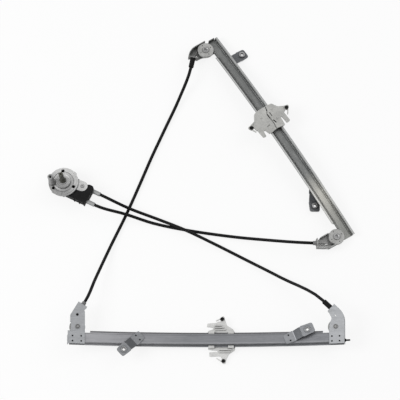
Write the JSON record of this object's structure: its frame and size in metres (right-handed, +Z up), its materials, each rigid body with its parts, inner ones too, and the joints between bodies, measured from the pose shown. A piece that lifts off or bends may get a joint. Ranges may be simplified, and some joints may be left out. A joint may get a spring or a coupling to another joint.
{
  "type": "window regulator",
  "caption": "Car window regulator: two bowed rails with carriers that a sheathed cable loop moves over pulleys, driven by a hand winder on a round flange.",
  "frame": {"origin": "under the middle of the box of the solid pieces, on the surface it lies on", "axes": "+Z up off the surface, +X towards the right ends of the rails, +Y from the flat-lying lower rail towards the top of the slanted rail"},
  "size_m": [0.5829, 0.6589, 0.0714],
  "materials": {
    "winder_metal": "satin die-cast",
    "black_plastic": "moulded, matt",
    "bright_steel": "zinc plated",
    "ferrule_metal": "drawn",
    "shaft_steel": "oiled, dark olive",
    "drum_plastic": "moulded, ivory",
    "spring_steel": "drawn",
    "rail_steel": "galvanised sheet",
    "bracket_steel": "galvanised sheet",
    "pulley_plastic": "moulded, pale grey",
    "dark_steel": "phosphated sheet",
    "carrier_plastic": "moulded, translucent white",
    "buffer_rubber": "moulded",
    "grey_plastic": "moulded, grey",
    "wire_steel": "stranded, greased",
    "sheath_plastic": "extruded, black"
  },
  "bodies": {
    "frame": {"winder_flange": "winder_metal", "brake_cup": "winder_metal", "backing_plate": "winder_metal", "drum_housing": "black_plastic", "back_cover": "black_plastic", "cover_screws": "bright_steel", "winder_post": "bright_steel", "lug_rivet": "bright_steel", "ferrule_a": "ferrule_metal", "ferrule_b": "ferrule_metal", "brake_spring": "spring_steel", "rail_a": "rail_steel", "rail_b": "rail_steel", "bracket_a_top": "bracket_steel", "bracket_a_bottom": "bracket_steel", "bracket_b_top": "bracket_steel", "bracket_b_bottom": "bracket_steel", "pulley_rivets": "bright_steel", "mount_a_top": "bracket_steel", "mount_a_bottom": "bracket_steel", "mount_b_top": "dark_steel", "mount_b_bottom": "dark_steel", "mount_nuts": "bright_steel", "boot_a": "black_plastic", "boot_b": "black_plastic", "plug_a": "grey_plastic", "plug_b": "grey_plastic", "end_stub": "black_plastic", "wire_a": "wire_steel", "wire_b": "wire_steel", "sheath_a": "sheath_plastic", "sheath_b": "sheath_plastic", "sheath_c": "sheath_plastic"},
    "winder_shaft": {"crank_shaft": "shaft_steel", "cable_drum": "drum_plastic"},
    "carrier_a_body": {"carrier_a": "carrier_plastic", "buffers_a": "buffer_rubber", "nipples_a": "winder_metal"},
    "carrier_b_body": {"carrier_b": "carrier_plastic", "buffers_b": "buffer_rubber", "nipples_b": "winder_metal"},
    "pulley_a_top_body": {"pulley_a_top": "pulley_plastic"},
    "pulley_a_bottom_body": {"pulley_a_bottom": "pulley_plastic"},
    "pulley_b_top_body": {"pulley_b_top": "pulley_plastic"},
    "pulley_b_bottom_body": {"pulley_b_bottom": "pulley_plastic"}
  },
  "joints": [
    {"name": "winder_turn", "type": "hinge", "parent": "frame", "child": "winder_shaft", "pos_m": [-0.26156, 0.0282, 0.02789], "axis": [-0.1045, 0, 0.9945], "range_deg": [-783, 477]},
    {"name": "carrier_a_travel", "type": "hinge", "parent": "frame", "child": "carrier_a_body", "pos_m": [0.0103, -0.40916, 1.81191], "axis": [0, -0.9976, -0.0698], "range_deg": [-6.51, 3.97]},
    {"name": "carrier_b_travel", "type": "hinge", "parent": "frame", "child": "carrier_b_body", "pos_m": [-0.0594, -0.01425, -1.76333], "axis": [-0.8281, -0.543, 0.1392], "range_deg": [-6.51, 3.97]},
    {"name": "pulley_a_top_spin", "type": "hinge", "parent": "frame", "child": "pulley_a_top_body", "pos_m": [0.25467, -0.26469, 0.02967], "axis": [-0.1354, -0.0691, 0.9884], "range_deg": [-877, 534.5]},
    {"name": "pulley_a_bottom_spin", "type": "hinge", "parent": "frame", "child": "pulley_a_bottom_body", "pos_m": [-0.23407, -0.26469, 0.02967], "axis": [0.1354, -0.0691, 0.9884], "range_deg": [-877, 534.5]},
    {"name": "pulley_b_top_spin", "type": "hinge", "parent": "frame", "child": "pulley_b_top_body", "pos_m": [0.00868, 0.3006, 0.01239], "axis": [0.0468, 0.1804, 0.9825], "range_deg": [-877, 534.5]},
    {"name": "pulley_b_bottom_spin", "type": "hinge", "parent": "frame", "child": "pulley_b_bottom_body", "pos_m": [0.25649, -0.07737, 0.01239], "axis": [0.1841, -0.029, 0.9825], "range_deg": [-877, 534.5]}
  ],
  "couplings": [
    {"joint": "carrier_a_travel", "follows": "winder_turn", "ratio": 0.0083121},
    {"joint": "carrier_b_travel", "follows": "winder_turn", "ratio": 0.0083121},
    {"joint": "pulley_a_top_spin", "follows": "winder_turn", "ratio": 1.1194},
    {"joint": "pulley_a_bottom_spin", "follows": "winder_turn", "ratio": 1.1194},
    {"joint": "pulley_b_top_spin", "follows": "winder_turn", "ratio": 1.1194},
    {"joint": "pulley_b_bottom_spin", "follows": "winder_turn", "ratio": 1.1194}
  ]
}
